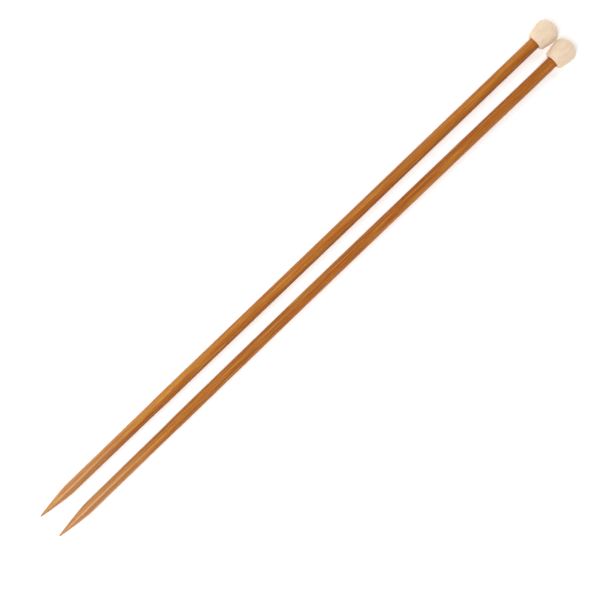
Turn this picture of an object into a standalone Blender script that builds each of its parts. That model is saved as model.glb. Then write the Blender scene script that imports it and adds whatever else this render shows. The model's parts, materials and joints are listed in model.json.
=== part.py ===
"""A pair of straight, single-pointed knitting needles lying side by side on a flat surface.

Each needle is a bamboo rod, ground to a point, with a turned wooden knob glued on its other end.
World frame: +X runs along the pair from the points to the knobs, +Z is up, and the origin is at the
middle of the pair on the surface that it lies on. Units are metres.

Every piece is a turned shape, drawn about its own +Z axis, which runs from the point to the knob.
"""

import math

import bmesh
import bpy

# Needle, along its own axis
OVERALL_LENGTH = 0.350
SHAFT_RADIUS = 0.0030

# Ground point: a small ball, a slightly bulging taper, then a slimmer neck that widens to the rod
TIP_RADIUS = 0.0004
POINT_LENGTH = 0.019
POINT_BULGE = 0.0002
SHOULDER_RADIUS = 0.00285
NECK_END = 0.074
FULL_WIDTH_FROM = 0.083

# Knob: a flat front, a rounded rim, a swelling body and a domed back with a small flat crown
KNOB_LENGTH = 0.0128
KNOB_RADIUS = 0.00625
KNOB_WIDEST_AT = 0.0079
FRONT_FLAT_RADIUS = 0.0039
RIM_RADIUS = 0.00515
RIM_DEPTH = 0.0018
BODY_ROUNDNESS = 1.4
CROWN_FLAT_RADIUS = 0.0023

# Glued joint between the rod's end and the knob's blind bore
BORE_RADIUS = 0.0033
BORE_DEPTH = 0.0090
GLUE_CLEARANCE = 0.0001
GLUE_THICKNESS = 0.0001
GLUE_SET_BACK = 0.0002
ROD_END_CHAMFER = 0.0004

# How the two needles lie
KNOB_GAP = 0.0003
TIP_SPACING = 0.0134

# Fineness of the turned shapes
SIDES = 40
BALL_STEPS = 4
POINT_STEPS = 8
RIM_STEPS = 4
BODY_STEPS = 5
DOME_STEPS = 8

# Values that follow from those above
KNOB_FRONT = OVERALL_LENGTH - KNOB_LENGTH
GLUE_OUTER_RADIUS = BORE_RADIUS - GLUE_CLEARANCE
GLUE_INNER_RADIUS = GLUE_OUTER_RADIUS - GLUE_THICKNESS
GLUE_OUTER_END = BORE_DEPTH - GLUE_CLEARANCE
GLUE_INNER_END = GLUE_OUTER_END - GLUE_THICKNESS
ROD_END = KNOB_FRONT + GLUE_INNER_END - GLUE_CLEARANCE


def clear_scene():
    for obj in list(bpy.data.objects):
        bpy.data.objects.remove(obj)


def make_material(name, colour, roughness):
    material = bpy.data.materials.new(name)
    material.use_nodes = True
    shader = material.node_tree.nodes["Principled BSDF"]
    shader.inputs["Base Color"].default_value = (*colour, 1.0)
    shader.inputs["Roughness"].default_value = roughness
    shader.inputs["Metallic"].default_value = 0.0
    material.diffuse_color = (*colour, 1.0)
    return material


def arc(centre, radii, start, end, steps):
    """Points of an elliptical arc as (radius, height), at angles measured from the radial direction."""
    angles = [start + (end - start) * i / steps for i in range(steps + 1)]
    return [(centre[0] + radii[0] * math.cos(a), centre[1] + radii[1] * math.sin(a)) for a in angles]


def shaft_outline():
    """From the middle of the rod's square end, down its side to the tip, with heights from the tip."""
    side = [
        (0.0, ROD_END),
        (SHAFT_RADIUS - ROD_END_CHAMFER, ROD_END),
        (SHAFT_RADIUS, ROD_END - ROD_END_CHAMFER),
        (SHAFT_RADIUS, FULL_WIDTH_FROM),
        (SHOULDER_RADIUS, NECK_END),
    ]
    # The taper leaves the ball along its tangent, so its slope there sets where the ball ends.
    rise = SHOULDER_RADIUS - TIP_RADIUS + 4 * POINT_BULGE
    slope = math.atan2(rise, POINT_LENGTH - TIP_RADIUS)
    ball_radius = TIP_RADIUS * math.cos(slope)
    ball_height = TIP_RADIUS * (1.0 - math.sin(slope))
    taper = []
    for i in range(POINT_STEPS, 0, -1):
        share = i / POINT_STEPS
        straight = ball_radius + (SHOULDER_RADIUS - ball_radius) * share
        bulge = 4 * POINT_BULGE * share * (1.0 - share)
        taper.append((straight + bulge, ball_height + (POINT_LENGTH - ball_height) * share))
    ball = arc((0.0, TIP_RADIUS), (TIP_RADIUS, TIP_RADIUS), -slope, -math.pi / 2, BALL_STEPS)
    ball[-1] = (0.0, 0.0)
    return side + taper + ball


def knob_outline():
    """From the crown's middle, down the outside to the front face, and up the blind bore."""
    dome_depth = KNOB_LENGTH - KNOB_WIDEST_AT
    crown_angle = math.acos(CROWN_FLAT_RADIUS / KNOB_RADIUS)
    dome_height = dome_depth / math.sin(crown_angle)
    dome = arc((0.0, KNOB_WIDEST_AT), (KNOB_RADIUS, dome_height), crown_angle, 0.0, DOME_STEPS)
    body = []
    for i in range(1, BODY_STEPS):
        share = i / BODY_STEPS
        swell = 1.0 - share**BODY_ROUNDNESS
        radius = RIM_RADIUS + (KNOB_RADIUS - RIM_RADIUS) * swell
        body.append((radius, KNOB_WIDEST_AT + (RIM_DEPTH - KNOB_WIDEST_AT) * share))
    rim_size = (RIM_RADIUS - FRONT_FLAT_RADIUS, RIM_DEPTH)
    rim = arc((FRONT_FLAT_RADIUS, RIM_DEPTH), rim_size, 0.0, -math.pi / 2, RIM_STEPS)
    bore = [(BORE_RADIUS, 0.0), (BORE_RADIUS, BORE_DEPTH), (0.0, BORE_DEPTH)]
    return [(0.0, KNOB_LENGTH)] + dome + body + rim + bore


def glue_outline():
    """A thin cup around the rod's end, open towards the point."""
    return [
        (0.0, GLUE_OUTER_END),
        (GLUE_OUTER_RADIUS, GLUE_OUTER_END),
        (GLUE_OUTER_RADIUS, GLUE_SET_BACK),
        (GLUE_INNER_RADIUS, GLUE_SET_BACK),
        (GLUE_INNER_RADIUS, GLUE_INNER_END),
        (0.0, GLUE_INNER_END),
    ]


def turned_mesh(name, outline, material):
    """A mesh made by turning an outline of (radius, height) points once about Z."""
    bm = bmesh.new()
    verts = [bm.verts.new((radius, 0.0, height)) for radius, height in outline]
    edges = [bm.edges.new(pair) for pair in zip(verts, verts[1:])]
    bmesh.ops.spin(
        bm,
        geom=verts + edges,
        cent=(0.0, 0.0, 0.0),
        axis=(0.0, 0.0, 1.0),
        angle=2 * math.pi,
        steps=SIDES,
        use_merge=True,
    )
    bmesh.ops.remove_doubles(bm, verts=bm.verts, dist=1e-6)
    bmesh.ops.recalc_face_normals(bm, faces=bm.faces)
    mesh = bpy.data.meshes.new(name)
    bm.to_mesh(mesh)
    bm.free()
    mesh.shade_smooth()
    mesh.set_sharp_from_angle(angle=math.radians(35))
    mesh.materials.append(material)
    return mesh


def lie_of_needle():
    """The tilt, the turn about Z and the tip's height of a needle that lies on its knob and its shoulder."""
    knob_widest = KNOB_FRONT + KNOB_WIDEST_AT
    tilt = math.atan2(KNOB_RADIUS - SHOULDER_RADIUS, knob_widest - POINT_LENGTH)
    spread = (TIP_SPACING - 2 * KNOB_RADIUS - KNOB_GAP) / 2
    turn_in = math.atan2(spread, knob_widest)
    tip_height = SHOULDER_RADIUS * math.cos(tilt) - POINT_LENGTH * math.sin(tilt)
    return tilt, turn_in, tip_height


def place_needle(side_name, side, meshes):
    """One needle on an empty at its tip, whose +Z runs along the needle. side is 1 at +Y, -1 at -Y."""
    tilt, turn_in, tip_height = lie_of_needle()
    axis = bpy.data.objects.new(side_name + "_needle_axis", None)
    axis.empty_display_size = 0.01
    axis.location = (-OVERALL_LENGTH * math.cos(tilt) / 2, side * TIP_SPACING / 2, tip_height)
    axis.rotation_euler = (0.0, math.pi / 2 - tilt, -side * turn_in)
    bpy.context.scene.collection.objects.link(axis)
    heights = {"shaft": 0.0, "knob": KNOB_FRONT, "glue_film": KNOB_FRONT}
    for piece, height in heights.items():
        obj = bpy.data.objects.new(side_name + "_" + piece, meshes[piece])
        obj.location = (0.0, 0.0, height)
        obj.parent = axis
        bpy.context.scene.collection.objects.link(obj)


def main():
    clear_scene()
    bamboo = make_material("bamboo", (0.41, 0.13, 0.014), 0.38)
    pale_wood = make_material("pale_wood", (0.74, 0.58, 0.42), 0.65)
    cured_glue = make_material("cured_glue", (0.62, 0.48, 0.26), 0.30)
    meshes = {
        "shaft": turned_mesh("shaft", shaft_outline(), bamboo),
        "knob": turned_mesh("knob", knob_outline(), pale_wood),
        "glue_film": turned_mesh("glue_film", glue_outline(), cured_glue),
    }
    place_needle("left", 1, meshes)
    place_needle("right", -1, meshes)


main()
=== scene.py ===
"""Looks for the pair of straight knitting needles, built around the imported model.

Each needle gets three pieces that stand for its CAD nodes: a bamboo shaft, a turned wooden knob and
the glue between them. All are turned shapes with small irregularities of their own. The materials
are solid textures, which read each point's place in its needle along and across the grain.
"""

import json
import math

import bpy
import numpy as np
from mathutils import Matrix, Vector


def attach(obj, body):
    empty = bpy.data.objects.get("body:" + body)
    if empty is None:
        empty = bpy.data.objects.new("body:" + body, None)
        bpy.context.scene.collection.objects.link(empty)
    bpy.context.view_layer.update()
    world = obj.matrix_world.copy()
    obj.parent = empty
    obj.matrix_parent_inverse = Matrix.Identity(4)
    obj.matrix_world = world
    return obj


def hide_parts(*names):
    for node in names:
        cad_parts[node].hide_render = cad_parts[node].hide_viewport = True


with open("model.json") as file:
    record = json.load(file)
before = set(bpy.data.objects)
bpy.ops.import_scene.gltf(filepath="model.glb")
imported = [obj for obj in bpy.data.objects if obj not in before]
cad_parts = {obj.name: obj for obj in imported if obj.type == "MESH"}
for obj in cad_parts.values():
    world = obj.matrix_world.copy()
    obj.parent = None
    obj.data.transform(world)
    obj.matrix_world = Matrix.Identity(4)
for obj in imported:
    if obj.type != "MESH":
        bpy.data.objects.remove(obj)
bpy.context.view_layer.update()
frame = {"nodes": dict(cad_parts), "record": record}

MM = 0.001
SHARP_ANGLE = math.radians(40)
NEEDLE_SEEDS = {"left": 11, "right": 42}
KNOB_SEED_STEP = 50

# Shaft, with heights from its tip: a ball, a bulging taper, a slim neck and the full rod
TIP_RADIUS = 0.4 * MM
POINT_LENGTH = 19.0 * MM
POINT_BULGE = 0.2 * MM
SHOULDER_RADIUS = 2.85 * MM
NECK_END = 74.0 * MM
FULL_WIDTH_FROM = 83.0 * MM
SHAFT_RADIUS = 3.0 * MM
ROD_END_CHAMFER = 0.4 * MM
SHAFT_SIDES = 144
ROD_RINGS = 330
ROD_RINGS_FROM = POINT_LENGTH + 1 * MM
TAPER_RINGS = 60
TAPER_CROWDING = 1.3
BALL_STEPS = 8

# How far each rod bends sideways at its middle, towards +Y. It comes straight again near the knob.
BOW = {"left": 0.06 * MM, "right": 0.55 * MM}
BOW_STRAIGHTENS = 10

# Fibre ridges, as numbers round the rod, with the range of lengths in mm that they wander over
RIDGE_COUNTS = (5, 9, 14, 19, 26, 33)
RIDGE_LENGTHS = (20, 90)
RIDGE_DRIFT = 0.6
RIDGE_DEPTH = 0.0035 * MM

# Slow waves in the rod's width, with their range of lengths in mm, and an oval that turns along it.
# All of the shaft's unevenness fades in over the first part of the point's width.
WAVES = 3
WAVE_LENGTHS = (25, 80)
WAVE_DEPTH = 0.006 * MM
ROD_OVAL = 0.012 * MM
ROD_OVAL_TURNS_OVER = 70 * MM
POINT_FADE = 2 * MM

# Knob, with heights from its flat front
KNOB_LENGTH = 12.8 * MM
KNOB_RADIUS = 6.25 * MM
KNOB_WIDEST_AT = 7.9 * MM
FRONT_FLAT_RADIUS = 3.9 * MM
RIM_RADIUS = 5.15 * MM
RIM_DEPTH = 1.8 * MM
BODY_ROUNDNESS = 1.4
CROWN_FLAT_RADIUS = 2.3 * MM
CROWN_RING = 0.7 * CROWN_FLAT_RADIUS
BORE_RADIUS = 3.16 * MM
BORE_DEPTH = 9.0 * MM
MOUTH_CHAMFER = 0.15 * MM
KNOB_SIDES = 160
DOME_STEPS = 44
BODY_STEPS = 39
RIM_STEPS = 12

# Knob's unevenness: wider to each side than upwards, turning marks and shallow dents. It fades in
# outside the flat front.
KNOB_OVAL = 0.13 * MM
MARK_DEPTH = 0.004 * MM
MARK_SPACING = 0.55 * MM
DENT_COUNT = 5
DENT_DEPTH = 0.008 * MM
DENT_TWIST = 1.5 * MM
RIM_FADE = 0.6 * MM

# Glued joint
ROD_IN_BORE = 8.7 * MM
GLUE_RADII = (3.03 * MM, 3.13 * MM)
GLUE_GAP = 0.05 * MM
GLUE_SET_BACK = 0.25 * MM
GLUE_MENISCUS = 0.08 * MM
MENISCUS_STEPS = 8

# Floor: a flat disc, a cove and a low wall, and how its glow grows from near the middle to far off
FLOOR_FLAT = 2.4
FLOOR_COVE = 0.8
FLOOR_WALL_TOP = 1.2
FLOOR_SIDES = 96
COVE_STEPS = 16
FLOOR_DROP = 0.05 * MM
GLOW_DISTANCES = (0.7, 2.2)
GLOW_STRENGTHS = (0.18, 0.65)
FLOOR_BRIGHTNESS = 0.97
FLOOR_ROUGHNESS = 0.9

# Lights: each softbox's place, its size and its power in watts
SKY_STRENGTH = 0.24
SOFTBOXES = {
    "points_end_softbox": ((-0.65, -0.10, 1.20), (0.3, 0.8), 10.5),
    "knob_end_softbox": ((1.05, 0.40, 1.20), (0.7, 0.7), 6.5),
    "upper_softbox": ((-0.3, 0.80, 1.25), (1.3, 0.28), 4.2),
}

# Camera, straight above the pair and turned so that the needles run from lower left to upper right
CAMERA_HEIGHT = 0.75
CAMERA_OVER = (-0.0085, -0.0049)
NEEDLE_ANGLE = math.radians(43.84)
LENS_MM = 90.8
SENSOR_MM = 36.0
CLIP_START = 0.01
CLIP_END = 20.0


# ------------------------------------------------------------------ where the needles lie


def needle_matrix(side):
    """From needle coordinates (+Z along the needle from its tip, +X upwards) to the row frame."""
    shaft = frame["nodes"][side + "_shaft"]
    tip = min((v.co for v in shaft.data.vertices), key=lambda co: co.x)
    mount = next(m for m in frame["record"]["mounts"] if m["name"] == side + "_stop_face")
    along = -Vector(mount["axis"]).normalized()
    up = (Vector((0, 0, 1)) - along * along.z).normalized()
    turn = Matrix((up, along.cross(up), along)).transposed()
    return Matrix.Translation(tip) @ turn.to_4x4()


def knob_front():
    """How far the knob's front face is from the tip."""
    place = needle_matrix("left")
    mount = next(m for m in frame["record"]["mounts"] if m["name"] == "left_stop_face")
    return (place.inverted() @ Vector(mount["pos_m"])).z


KNOB_FRONT = knob_front()


# ------------------------------------------------------------------ shapes


def add_object(name, data):
    obj = bpy.data.objects.new(name, data)
    bpy.context.scene.collection.objects.link(obj)
    return obj


def ring_faces(rings, sides):
    """Faces between each ring of points and the next."""
    faces = []
    for i in range(rings - 1):
        a, b = i * sides, (i + 1) * sides
        faces += [(a + j, b + j, b + (j + 1) % sides, a + (j + 1) % sides) for j in range(sides)]
    return faces


def turned(name, side, outline, sides, wobble=None):
    """A piece turned about its needle's axis from an outline of (radius, height) rows.

    The outline starts and ends on the axis and runs towards the tip on its outer side. wobble gives
    each point's change of radius and shift across, from its angle, height and radius.
    The piece keeps each point's place in the wood, in mm, as the attribute grain: x along the
    needle, y upwards and z towards -Y.
    """
    outline = np.asarray(outline, float)
    rings = outline[1:-1]
    angle = np.linspace(0.0, 2 * math.pi, sides, endpoint=False)
    radius = np.repeat(rings[:, :1], sides, axis=1)
    height = np.repeat(rings[:, 1:], sides, axis=1)
    angles = np.repeat(angle[None, :], len(rings), axis=0)
    shift = np.zeros_like(radius)
    if wobble is not None:
        change, shift = wobble(angles, height, radius)
        radius = radius + change
    x = radius * np.cos(angles)
    y = radius * np.sin(angles)
    points = np.stack([x, y + shift, height], axis=-1).reshape(-1, 3)
    grain = np.stack([height, x, y], axis=-1).reshape(-1, 3)
    ends = np.array([[0.0, 0.0, outline[0, 1]], [0.0, 0.0, outline[-1, 1]]])
    end_shift = wobble(np.zeros(2), ends[:, 2], np.zeros(2))[1] if wobble is not None else np.zeros(2)
    points = np.vstack([points, ends + np.column_stack([np.zeros(2), end_shift, np.zeros(2)])])
    grain = np.vstack([grain, np.column_stack([ends[:, 2], np.zeros((2, 2))])])
    first = len(rings) * sides
    last = (len(rings) - 1) * sides
    faces = [(first, j, (j + 1) % sides) for j in range(sides)]
    faces += ring_faces(len(rings), sides)
    faces += [(last + (j + 1) % sides, last + j, first + 1) for j in range(sides)]

    place = np.array(needle_matrix(side))
    world = points @ place[:3, :3].T + place[:3, 3]
    mesh = bpy.data.meshes.new(name)
    mesh.from_pydata(world.tolist(), [], faces)
    mesh.shade_smooth()
    mesh.set_sharp_from_angle(angle=SHARP_ANGLE)
    stored = mesh.attributes.new("grain", "FLOAT_VECTOR", "POINT")
    stored.data.foreach_set("vector", (grain / MM).astype(np.float32).ravel())
    return add_object(name, mesh)


def arc(centre, radii, start, end, steps):
    """Points of an elliptical arc, at angles measured from the radial direction."""
    angles = np.linspace(start, end, steps + 1)
    across = centre[0] + radii[0] * np.cos(angles)
    up = centre[1] + radii[1] * np.sin(angles)
    return np.column_stack([across, up])


def smooth_step(x):
    x = np.clip(x, 0.0, 1.0)
    return x * x * (3 - 2 * x)


def shaft_outline():
    """From the middle of the rod's square end, inside the knob, down its side to the tip."""
    end = KNOB_FRONT + ROD_IN_BORE
    chamfer = [
        (0.0, end),
        (SHAFT_RADIUS - ROD_END_CHAMFER, end),
        (SHAFT_RADIUS, end - ROD_END_CHAMFER),
    ]
    rod_heights = np.linspace(end - 2 * ROD_END_CHAMFER, ROD_RINGS_FROM, ROD_RINGS)
    widening = smooth_step((rod_heights - NECK_END) / (FULL_WIDTH_FROM - NECK_END))
    rod = np.column_stack([SHOULDER_RADIUS + (SHAFT_RADIUS - SHOULDER_RADIUS) * widening, rod_heights])
    # The taper leaves the ball along its tangent, so its slope there sets where the ball ends.
    rise = SHOULDER_RADIUS - TIP_RADIUS + 4 * POINT_BULGE
    slope = math.atan2(rise, POINT_LENGTH - TIP_RADIUS)
    ball_radius = TIP_RADIUS * math.cos(slope)
    ball_height = TIP_RADIUS * (1.0 - math.sin(slope))
    share = np.linspace(1.0, 0.0, TAPER_RINGS) ** TAPER_CROWDING
    straight = ball_radius + (SHOULDER_RADIUS - ball_radius) * share
    taper_radii = straight + 4 * POINT_BULGE * share * (1 - share)
    taper = np.column_stack([taper_radii, ball_height + (POINT_LENGTH - ball_height) * share])
    ball = arc((0.0, TIP_RADIUS), (TIP_RADIUS, TIP_RADIUS), -slope, -math.pi / 2, BALL_STEPS)[1:]
    ball[-1] = (0.0, 0.0)
    return np.vstack([chamfer, rod, taper, ball])


def shaft_wobble(side, seed):
    """Fine ridges left by the fibres, slow waves in the rod's width, and its bow."""
    rng = np.random.default_rng(seed)
    ridges = [(k, rng.uniform(0, 2 * math.pi), rng.uniform(*RIDGE_LENGTHS)) for k in RIDGE_COUNTS]
    waves = [(rng.uniform(*WAVE_LENGTHS), rng.uniform(0, 2 * math.pi)) for _ in range(WAVES)]

    def wobble(angle, height, radius):
        size = smooth_step((radius - TIP_RADIUS) / POINT_FADE)
        change = np.zeros_like(radius)
        for count, phase, length in ridges:
            drift = RIDGE_DRIFT * np.sin(height / (length * MM) + phase)
            change += RIDGE_DEPTH * (np.sin(count * angle + phase + drift) - 1)
        for length, phase in waves:
            change += WAVE_DEPTH * (np.sin(height / (length * MM) + phase) - 1)
        change += ROD_OVAL * (np.cos(2 * angle + height / ROD_OVAL_TURNS_OVER) - 1)
        share = np.clip(height / KNOB_FRONT, 0.0, 1.0)
        bow = BOW[side] * 4 * share * (1 - share) * (1 - share**BOW_STRAIGHTENS)
        return change * size, -bow

    return wobble


def knob_outline():
    """From the crown's middle, down the outside to the flat front, and up the blind bore."""
    dome_depth = KNOB_LENGTH - KNOB_WIDEST_AT
    crown_angle = math.acos(CROWN_FLAT_RADIUS / KNOB_RADIUS)
    dome_height = dome_depth / math.sin(crown_angle)
    crown = [(0.0, KNOB_LENGTH), (CROWN_RING, KNOB_LENGTH)]
    dome = arc((0.0, KNOB_WIDEST_AT), (KNOB_RADIUS, dome_height), crown_angle, 0.0, DOME_STEPS)
    share = np.linspace(0.0, 1.0, BODY_STEPS + 1)[1:-1]
    swell = 1.0 - share**BODY_ROUNDNESS
    body_radii = RIM_RADIUS + (KNOB_RADIUS - RIM_RADIUS) * swell
    body = np.column_stack([body_radii, KNOB_WIDEST_AT + (RIM_DEPTH - KNOB_WIDEST_AT) * share])
    rim_size = (RIM_RADIUS - FRONT_FLAT_RADIUS, RIM_DEPTH)
    rim = arc((FRONT_FLAT_RADIUS, RIM_DEPTH), rim_size, 0.0, -math.pi / 2, RIM_STEPS)
    bore = [
        (BORE_RADIUS + MOUTH_CHAMFER, 0.0),
        (BORE_RADIUS, MOUTH_CHAMFER),
        (BORE_RADIUS, BORE_DEPTH),
        (0.0, BORE_DEPTH),
    ]
    outline = np.vstack([crown, dome, body, rim, bore])
    outline[:, 1] += KNOB_FRONT
    return outline


def knob_wobble(seed):
    """Turning marks, shallow dents and a knob that isn't quite round."""
    rng = np.random.default_rng(seed)
    # The middle number isn't used; it is drawn so that the dent phase comes from the third draw.
    mark_phase, _, dent_phase = rng.uniform(0, 2 * math.pi, 3)

    def wobble(angle, height, radius):
        outside = smooth_step((radius - FRONT_FLAT_RADIUS) / RIM_FADE)
        marks = MARK_DEPTH * (np.sin(2 * math.pi * height / MARK_SPACING + mark_phase) - 1)
        oval = KNOB_OVAL * np.sin(angle) ** 2
        dents = DENT_DEPTH * (np.cos(DENT_COUNT * angle + height / DENT_TWIST + dent_phase) - 1)
        return (marks + oval + dents) * outside, np.zeros_like(radius)

    return wobble


def glue_outline():
    """A thin cup around the rod's end, whose edge shows as a ring in the bore's mouth."""
    inner, outer = GLUE_RADII
    edge_centre = ((inner + outer) / 2, GLUE_SET_BACK + GLUE_MENISCUS)
    edge_radii = ((outer - inner) / 2, GLUE_MENISCUS)
    edge = arc(edge_centre, edge_radii, 0.0, -math.pi, MENISCUS_STEPS)
    cup = [(0.0, BORE_DEPTH - GLUE_GAP), (outer, BORE_DEPTH - GLUE_GAP)]
    inside = [(inner, ROD_IN_BORE + GLUE_GAP), (0.0, ROD_IN_BORE + GLUE_GAP)]
    outline = np.vstack([cup, edge, inside])
    outline[:, 1] += KNOB_FRONT
    return outline


# ------------------------------------------------------------------ materials

# A colour Mix node has inputs and outputs for each kind of data. These are the ones for colours.
MIX_FACTOR, MIX_A, MIX_B = 0, 6, 7
MIX_RESULT = 2

BUMP_STRENGTH = 0.35


class Tree:
    """A material's nodes, made one by one. A value given as a socket is linked, and any other is set."""

    def __init__(self, name):
        self.material = bpy.data.materials.new(name)
        self.material.use_nodes = True
        self.nodes = self.material.node_tree.nodes
        self.links = self.material.node_tree.links
        self.shader = self.nodes["Principled BSDF"]

    def put(self, socket, value):
        if isinstance(value, bpy.types.NodeSocket):
            self.links.new(value, socket)
        else:
            socket.default_value = value

    def add_all(self, kind, inputs=(), **settings):
        node = self.nodes.new(kind)
        for key, value in settings.items():
            setattr(node, key, value)
        for key, value in dict(inputs).items():
            self.put(node.inputs[key], value)
        return node.outputs

    def add(self, kind, inputs=(), output=0, **settings):
        return self.add_all(kind, inputs, **settings)[output]

    def grain(self, scale, shift=(0.0, 0.0, 0.0)):
        """Place in the wood in mm, scaled by one over a pattern's size along and across the grain."""
        place = self.add("ShaderNodeAttribute", attribute_name="grain", output="Vector")
        return self.add(
            "ShaderNodeMapping",
            {"Vector": place, "Scale": scale, "Location": shift},
            vector_type="POINT",
        )

    def noise(self, size, shift=0.0, detail=2.0, roughness=0.5):
        """Smooth noise from 0 to 1, in patches whose size is in mm along and across the grain."""
        along, across = size
        where = self.grain((1 / along, 1 / across, 1 / across), (shift, shift, shift))
        inputs = {"Vector": where, "Scale": 1.0, "Detail": detail, "Roughness": roughness}
        return self.add("ShaderNodeTexNoise", inputs)

    def ramp(self, value, low, high, to_low=0.0, to_high=1.0):
        """A smooth change from to_low to to_high while the value goes from low to high."""
        inputs = {"Value": value, "From Min": low, "From Max": high, "To Min": to_low, "To Max": to_high}
        return self.add("ShaderNodeMapRange", inputs, interpolation_type="SMOOTHSTEP")

    def split(self, vector):
        return self.add_all("ShaderNodeSeparateXYZ", {0: vector})

    def math(self, operation, a, b=0.0):
        return self.add("ShaderNodeMath", {0: a, 1: b}, operation=operation)

    def mix(self, share, a, b):
        """Colour a, with that share of colour b."""
        node = self.nodes.new("ShaderNodeMix")
        node.data_type = "RGBA"
        self.put(node.inputs[MIX_FACTOR], share)
        self.put(node.inputs[MIX_A], a)
        self.put(node.inputs[MIX_B], b)
        return node.outputs[MIX_RESULT]

    def tint(self, colour, value, low, high, share, other):
        """The colour, with none of the other colour where the value is low and that share where high."""
        return self.mix(self.ramp(value, low, high, 0.0, share), colour, other)


def rgb(red, green, blue):
    return (red, green, blue, 1.0)


WHITE = rgb(1.0, 1.0, 1.0)

# The darker side of each rod, as angles in degrees from straight up towards -Y, near the point and
# near the knob, and where along the rod it goes from one to the other. It is partly the cane's outer
# wall and partly painted shade, for the side of the rod that the light reaches less.
DARKER_SIDE = {"left": (80, 75), "right": (70, -80)}
DARKER_SIDE_TURNS = (120.0, 330.0)

# How much deeper each rod's colour grows towards the knob, and where along it
DEEPER = {"left": 0.40, "right": 0.52}
DEEPENS = (70.0, 230.0)

# Bamboo's patterns, as their sizes in mm along and across the grain
SWAY_SIZE = (80.0, 3.0)
BROAD_SIZE = (55.0, 5.0)
STREAK_SIZE = (110.0, 0.62)
FIBRE_SIZE = (26.0, 0.26)
FINE_SIZE = (7.0, 0.10)
BUNDLE_SIZE = (400.0, 0.55)
FADING_SIZE = (22.0, 0.9)

LIGHT_BAMBOO = rgb(0.500, 0.202, 0.028)
MIDDLE_BAMBOO = rgb(0.412, 0.141, 0.017)
DEEP_BAMBOO = rgb(0.335, 0.088, 0.012)
PALE_FIBRE = rgb(0.620, 0.295, 0.052)
DARK_FIBRE = rgb(0.190, 0.052, 0.010)
# Colour of the band along the rod's opposite edge: partly darker grain, partly painted shade.
EDGE_GRAIN_AND_SHADE = rgb(0.240, 0.095, 0.022)
DARK_BUNDLE = rgb(0.160, 0.048, 0.012)
GROUND_BAMBOO = rgb(0.620, 0.330, 0.110)
SOILED_TIP = rgb(0.200, 0.110, 0.060)

BAMBOO_BUMP = 0.00002
BAMBOO_SPECULAR = 0.10
BAMBOO_COAT_ROUGHNESS = 0.25


def bamboo(name, seed, darker_side, deeper):
    """Carbonised bamboo, polished: long fibres, darker bundles, and a point ground paler.

    The third argument holds two angles, from straight up towards -Y, of the rod's darker side: near the
    point and near the knob. That side is darker partly for the cane's dense outer wall and partly as
    painted shade, for the side that the light reaches less.
    """
    t = Tree(name)
    # Painted shade, in part: the rod is darker towards one side, for the cane's denser outer wall and for
    # shade on the side the light reaches less.
    x, y, z = t.split(t.grain((1.0, 1.0, 1.0)))
    turn = t.ramp(x, *DARKER_SIDE_TURNS, *(math.radians(degrees) for degrees in darker_side))
    toward_darker_side = t.math(
        "ADD",
        t.math("MULTIPLY", y, t.math("COSINE", turn)),
        t.math("MULTIPLY", z, t.math("SINE", turn)),
    )
    sway = t.ramp(t.noise(SWAY_SIZE, seed + 19.0, detail=1.0), 0.25, 0.75, -0.9, 0.9)
    darker_side_reach = t.math("ADD", toward_darker_side, sway)
    broad = t.noise(BROAD_SIZE, seed, detail=1.0)
    streak = t.noise(STREAK_SIZE, seed + 3.0, detail=1.0)
    fibre = t.noise(FIBRE_SIZE, seed + 7.0, detail=3.0, roughness=0.6)
    fine = t.noise(FINE_SIZE, seed + 11.0, detail=2.0)

    colour = t.tint(LIGHT_BAMBOO, broad, 0.35, 0.65, 0.85, MIDDLE_BAMBOO)
    colour = t.tint(colour, darker_side_reach, 0.0, 2.6, 0.85, DEEP_BAMBOO)
    # Painted shade, in part: a darker band along the rod's opposite edge, for darker grain and for the
    # shade along that edge.
    colour = t.tint(colour, darker_side_reach, -1.2, -2.4, 0.85, EDGE_GRAIN_AND_SHADE)
    colour = t.tint(colour, x, *DEEPENS, deeper, DEEP_BAMBOO)
    colour = t.tint(colour, streak, 0.46, 0.62, 0.75, DEEP_BAMBOO)
    colour = t.tint(colour, fibre, 0.50, 0.64, 0.65, PALE_FIBRE)
    colour = t.tint(colour, fine, 0.52, 0.70, 0.55, DARK_FIBRE)

    # Fibre bundles run the rod's whole length, and fade in and out along it.
    along, across = BUNDLE_SIZE
    place = t.grain((1 / along, 1 / across, 1 / across), (0.0, seed, seed))
    bundle = t.add("ShaderNodeTexVoronoi", {"Vector": place, "Scale": 1.0, "Randomness": 0.9})
    core = t.ramp(bundle, 0.14, 0.30, 1.0, 0.0)
    fading = t.ramp(t.noise(FADING_SIZE, seed + 17.0), 0.35, 0.60)
    core = t.math("MULTIPLY", core, fading)
    colour = t.mix(t.math("MULTIPLY", core, 0.75), colour, DARK_BUNDLE)

    # The ground point is paler, and its very tip is soiled by use.
    colour = t.mix(t.ramp(x, 10.0, 90.0, 0.26, 0.0), colour, GROUND_BAMBOO)
    colour = t.mix(t.ramp(x, 0.3, 2.6, 0.40, 0.0), colour, SOILED_TIP)
    t.put(t.shader.inputs["Base Color"], colour)

    # The point is also better polished than the rod.
    t.put(t.shader.inputs["Roughness"], t.ramp(fibre, 0.3, 0.7, 0.32, 0.42))
    height = t.math("ADD", t.math("MULTIPLY", fibre, 0.6), t.math("MULTIPLY", fine, 0.4))
    bump = t.add("ShaderNodeBump", {"Strength": BUMP_STRENGTH, "Distance": BAMBOO_BUMP, "Height": height})
    t.put(t.shader.inputs["Normal"], bump)
    t.put(t.shader.inputs["Specular IOR Level"], BAMBOO_SPECULAR)
    t.put(t.shader.inputs["Coat Weight"], t.ramp(x, 20.0, 75.0, 0.85, 0.05))
    t.put(t.shader.inputs["Coat Roughness"], BAMBOO_COAT_ROUGHNESS)
    return t.material


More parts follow.
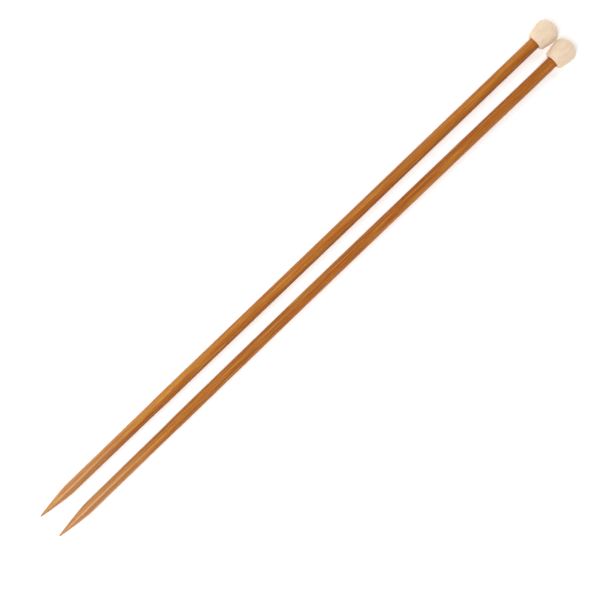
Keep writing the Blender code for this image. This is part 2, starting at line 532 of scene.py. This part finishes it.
# Pale wood's patterns, as their sizes in mm along and across the grain
PATCH_SIZE = (6.0, 2.2)
PINK_SIZE = (4.5, 1.5)
LINE_SIZE = (7.0, 0.35)
WANDER_SIZE = (12.0, 4.0)
PORE_SIZE = (0.9, 0.07)

# Growth rings: where their pith is in mm across the grain from the knob's axis, their spacing in mm,
# how much they change along the grain against across it, and how far their phase wanders
PITH = (-11.0, 8.0)
RING_SPACING = 1.1
RING_STRETCH = 0.05
RING_WANDER_ANGLE = 7.0

PALE_WOOD = rgb(0.735, 0.575, 0.405)
WARM_WOOD = rgb(0.795, 0.640, 0.470)
PINK_WOOD = rgb(0.775, 0.550, 0.420)
LINE_WOOD = rgb(0.62, 0.450, 0.300)
LATE_WOOD = rgb(0.66, 0.470, 0.310)
PORE_WOOD = rgb(0.50, 0.310, 0.180)

WOOD_BUMP = 0.00004
WOOD_SPECULAR = 0.3
WOOD_SHEEN = 0.35
WOOD_SHEEN_ROUGHNESS = 0.4


def pale_wood(name, seed):
    """Bare turned hardwood, matte: warm and pink patches, faint growth rings and small dark pores."""
    t = Tree(name)
    patch = t.noise(PATCH_SIZE, seed, detail=2.0)
    pink = t.noise(PINK_SIZE, seed + 5.0, detail=2.0)
    line = t.noise(LINE_SIZE, seed + 9.0, detail=3.0, roughness=0.6)
    pore = t.noise(PORE_SIZE, seed + 13.0, detail=1.0)

    # Growth rings about a pith that lies outside the knob
    place = t.grain((RING_STRETCH, 1.0, 1.0))
    pith = (0.0, *PITH)
    from_pith = t.add("ShaderNodeVectorMath", {0: place, 1: pith}, output="Value", operation="DISTANCE")
    rings = t.math("MULTIPLY", from_pith, 2 * math.pi / RING_SPACING)
    wander = t.math("MULTIPLY", t.noise(WANDER_SIZE, seed + 21.0, detail=1.0), RING_WANDER_ANGLE)
    ring = t.math("SINE", t.math("ADD", rings, wander))

    colour = t.tint(PALE_WOOD, patch, 0.3, 0.7, 1.0, WARM_WOOD)
    colour = t.tint(colour, pink, 0.45, 0.65, 0.6, PINK_WOOD)
    colour = t.tint(colour, line, 0.5, 0.8, 0.35, LINE_WOOD)
    colour = t.tint(colour, ring, 0.2, 1.0, 0.17, LATE_WOOD)
    colour = t.tint(colour, pore, 0.62, 0.70, 0.45, PORE_WOOD)
    t.put(t.shader.inputs["Base Color"], colour)

    t.put(t.shader.inputs["Roughness"], t.ramp(line, 0.3, 0.7, 0.58, 0.70))
    height = t.math("SUBTRACT", t.math("MULTIPLY", line, 0.6), t.ramp(pore, 0.60, 0.70, 0.0, 0.5))
    bump = t.add("ShaderNodeBump", {"Strength": BUMP_STRENGTH, "Distance": WOOD_BUMP, "Height": height})
    t.put(t.shader.inputs["Normal"], bump)
    t.put(t.shader.inputs["Specular IOR Level"], WOOD_SPECULAR)
    t.put(t.shader.inputs["Sheen Weight"], WOOD_SHEEN)
    t.put(t.shader.inputs["Sheen Roughness"], WOOD_SHEEN_ROUGHNESS)
    return t.material


CLOUD_SIZE = (0.8, 0.5)
DARK_GLUE = rgb(0.30, 0.17, 0.07)
LIGHT_GLUE = rgb(0.42, 0.26, 0.12)


def cured_glue(name):
    """Amber wood glue, slightly glossy, in lighter and darker clouds."""
    t = Tree(name)
    cloud = t.noise(CLOUD_SIZE, 2.0)
    t.put(t.shader.inputs["Base Color"], t.mix(cloud, DARK_GLUE, LIGHT_GLUE))
    t.put(t.shader.inputs["Roughness"], t.ramp(cloud, 0.3, 0.7, 0.25, 0.4))
    return t.material


# ------------------------------------------------------------------ needles


def make_needle(side, seed):
    body = side + "_needle"
    knob_seed = seed + KNOB_SEED_STEP
    shaft = turned(side + "_bamboo_shaft", side, shaft_outline(), SHAFT_SIDES, shaft_wobble(side, seed))
    knob = turned(side + "_turned_knob", side, knob_outline(), KNOB_SIDES, knob_wobble(knob_seed))
    glue = turned(side + "_glue_ring", side, glue_outline(), KNOB_SIDES)
    shaft.data.materials.append(bamboo("bamboo_" + side, seed, DARKER_SIDE[side], DEEPER[side]))
    knob.data.materials.append(pale_wood("pale_wood_" + side, seed))
    glue.data.materials.append(cured_glue("cured_glue_" + side))
    for piece, node, slot in (
        (shaft, "_shaft", "bamboo"),
        (knob, "_knob", "pale_wood"),
        (glue, "_glue_film", "cured_glue"),
    ):
        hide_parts(side + node)
        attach(piece, body)


# ------------------------------------------------------------------ studio


def studio_floor():
    """A white round floor that curves up into a low wall, so every side view has the same backdrop.

    It glows faintly, and more so farther off, where less of the lights' own light reaches it.
    """
    cove_size = (FLOOR_COVE, FLOOR_COVE)
    cove = arc((FLOOR_FLAT, FLOOR_COVE), cove_size, -math.pi / 2, 0.0, COVE_STEPS)
    rings = np.vstack([cove, [(FLOOR_FLAT + FLOOR_COVE, FLOOR_WALL_TOP)]])
    angle = np.linspace(0.0, 2 * math.pi, FLOOR_SIDES, endpoint=False)
    points = [(r * math.cos(a), r * math.sin(a), z) for r, z in rings for a in angle]
    points.append((0.0, 0.0, 0.0))
    middle = len(points) - 1
    faces = [(middle, j, (j + 1) % FLOOR_SIDES) for j in range(FLOOR_SIDES)]
    faces += ring_faces(len(rings), FLOOR_SIDES)
    mesh = bpy.data.meshes.new("studio_floor")
    mesh.from_pydata(points, [], faces)
    mesh.shade_smooth()
    floor = add_object("studio_floor", mesh)
    floor.location.z = -FLOOR_DROP
    t = Tree("pale_floor")
    t.put(t.shader.inputs["Base Color"], rgb(FLOOR_BRIGHTNESS, FLOOR_BRIGHTNESS, FLOOR_BRIGHTNESS))
    t.put(t.shader.inputs["Roughness"], FLOOR_ROUGHNESS)
    t.put(t.shader.inputs["Emission Color"], WHITE)
    place = t.add("ShaderNodeNewGeometry", output="Position")
    distance = t.add("ShaderNodeVectorMath", {0: place}, output="Value", operation="LENGTH")
    t.put(t.shader.inputs["Emission Strength"], t.ramp(distance, *GLOW_DISTANCES, *GLOW_STRENGTHS))
    mesh.materials.append(t.material)


def softbox(name, place, size, power):
    """An area light that faces the middle of the pair. It doesn't show in the picture itself."""
    light = bpy.data.lights.new(name, "AREA")
    light.shape = "RECTANGLE"
    light.size, light.size_y = size
    light.energy = power
    lamp = add_object(name, light)
    lamp.location = place
    lamp.rotation_euler = (-Vector(place)).to_track_quat("-Z", "Y").to_euler()
    lamp.visible_camera = False


def studio_light():
    world = bpy.data.worlds.new("studio")
    world.use_nodes = True
    background = world.node_tree.nodes["Background"]
    background.inputs["Color"].default_value = WHITE
    background.inputs["Strength"].default_value = SKY_STRENGTH
    bpy.context.scene.world = world
    for name, (place, size, power) in SOFTBOXES.items():
        softbox(name, place, size, power)


def camera():
    data = bpy.data.cameras.new("camera")
    data.sensor_width = SENSOR_MM
    data.lens = LENS_MM
    data.clip_start = CLIP_START
    data.clip_end = CLIP_END
    eye = add_object("camera", data)
    eye.location = (*CAMERA_OVER, CAMERA_HEIGHT)
    eye.rotation_euler = (0.0, 0.0, -NEEDLE_ANGLE)
    bpy.context.scene.camera = eye


for needle_side, needle_seed in NEEDLE_SEEDS.items():
    make_needle(needle_side, needle_seed)
studio_floor()
studio_light()
camera()
bpy.context.scene.view_settings.view_transform = "Standard"
